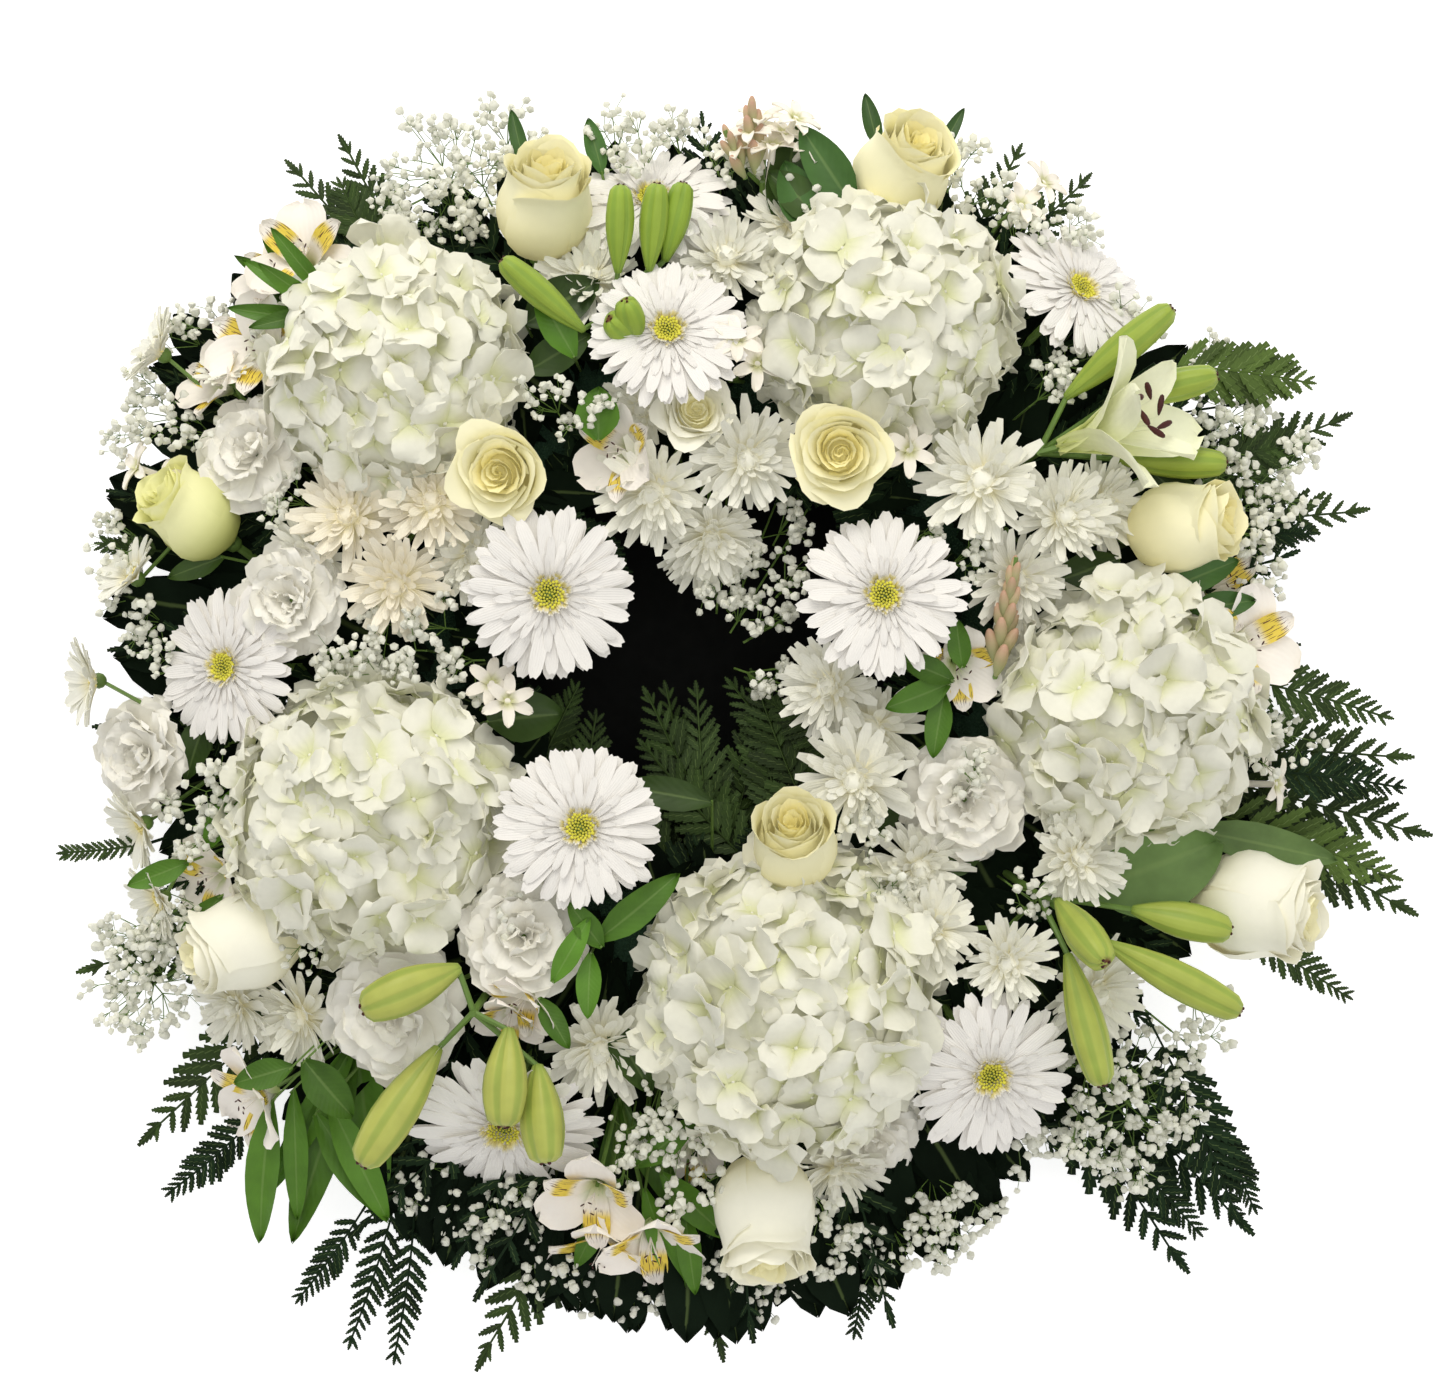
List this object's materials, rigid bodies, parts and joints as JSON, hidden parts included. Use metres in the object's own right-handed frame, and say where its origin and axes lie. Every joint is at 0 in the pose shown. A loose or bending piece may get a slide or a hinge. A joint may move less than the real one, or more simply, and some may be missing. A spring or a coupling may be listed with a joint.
{
  "type": "funeral wreath",
  "caption": "Round wreath of white and cream flowers, lily buds and fern on a ring of floral foam, lying on its back, with a flat black back board.",
  "frame": {"origin": "centre of the back board's flat underside", "axes": "+Z the way the wreath faces, away from its back; +Y the wreath's top; +X to the right of someone who looks at its face"},
  "size_m": [0.8155, 0.7615, 0.1962],
  "materials": {
    "black_lining": "satin",
    "tray_plastic": "satin",
    "wet_foam": "matte",
    "hydrangea_petals": "matte",
    "gerbera_petals": "matte",
    "rose_petals": "satin",
    "lily_green": "satin",
    "mum_petals": "matte",
    "lisianthus_petals": "matte",
    "alstroemeria_petals": "satin",
    "tuberose_petals": "satin",
    "breath_blossom": "matte",
    "fern_green": "matte"
  },
  "bodies": {
    "root": {"back_board": "black_lining", "ring_tray": "tray_plastic", "foam_ring": "wet_foam", "hydrangea_1": "hydrangea_petals", "hydrangea_2": "hydrangea_petals", "hydrangea_3": "hydrangea_petals", "hydrangea_4": "hydrangea_petals", "hydrangea_5": "hydrangea_petals", "gerbera_1": "gerbera_petals", "gerbera_2": "gerbera_petals", "gerbera_3": "gerbera_petals", "gerbera_4": "gerbera_petals", "gerbera_5": "gerbera_petals", "gerbera_6": "gerbera_petals", "gerbera_7": "gerbera_petals", "gerbera_8": "gerbera_petals", "gerbera_9": "gerbera_petals", "rose_1": "rose_petals", "rose_2": "rose_petals", "rose_3": "rose_petals", "rose_4": "rose_petals", "rose_5": "rose_petals", "rose_6": "rose_petals", "rose_7": "rose_petals", "rose_8": "rose_petals", "rose_9": "rose_petals", "rose_10": "rose_petals", "lily_stem_1": "lily_green", "lily_stem_2": "lily_green", "lily_stem_3": "lily_green", "lily_stem_4": "lily_green", "mum_spray_1": "mum_petals", "mum_spray_2": "mum_petals", "mum_spray_3": "mum_petals", "mum_spray_4": "mum_petals", "mum_spray_5": "mum_petals", "daisy_spray_1": "mum_petals", "daisy_spray_2": "mum_petals", "lisianthus_1": "lisianthus_petals", "lisianthus_2": "lisianthus_petals", "lisianthus_3": "lisianthus_petals", "lisianthus_4": "lisianthus_petals", "lisianthus_5": "lisianthus_petals", "alstroemeria_1": "alstroemeria_petals", "alstroemeria_2": "alstroemeria_petals", "alstroemeria_3": "alstroemeria_petals", "alstroemeria_4": "alstroemeria_petals", "tuberose_1": "tuberose_petals", "babys_breath_1": "breath_blossom", "babys_breath_2": "breath_blossom", "babys_breath_3": "breath_blossom", "babys_breath_4": "breath_blossom", "fern_1": "fern_green", "fern_2": "fern_green", "fern_3": "fern_green", "fern_4": "fern_green", "fern_5": "fern_green", "fern_6": "fern_green", "fern_7": "fern_green", "fern_8": "fern_green"}
  },
  "joints": []
}
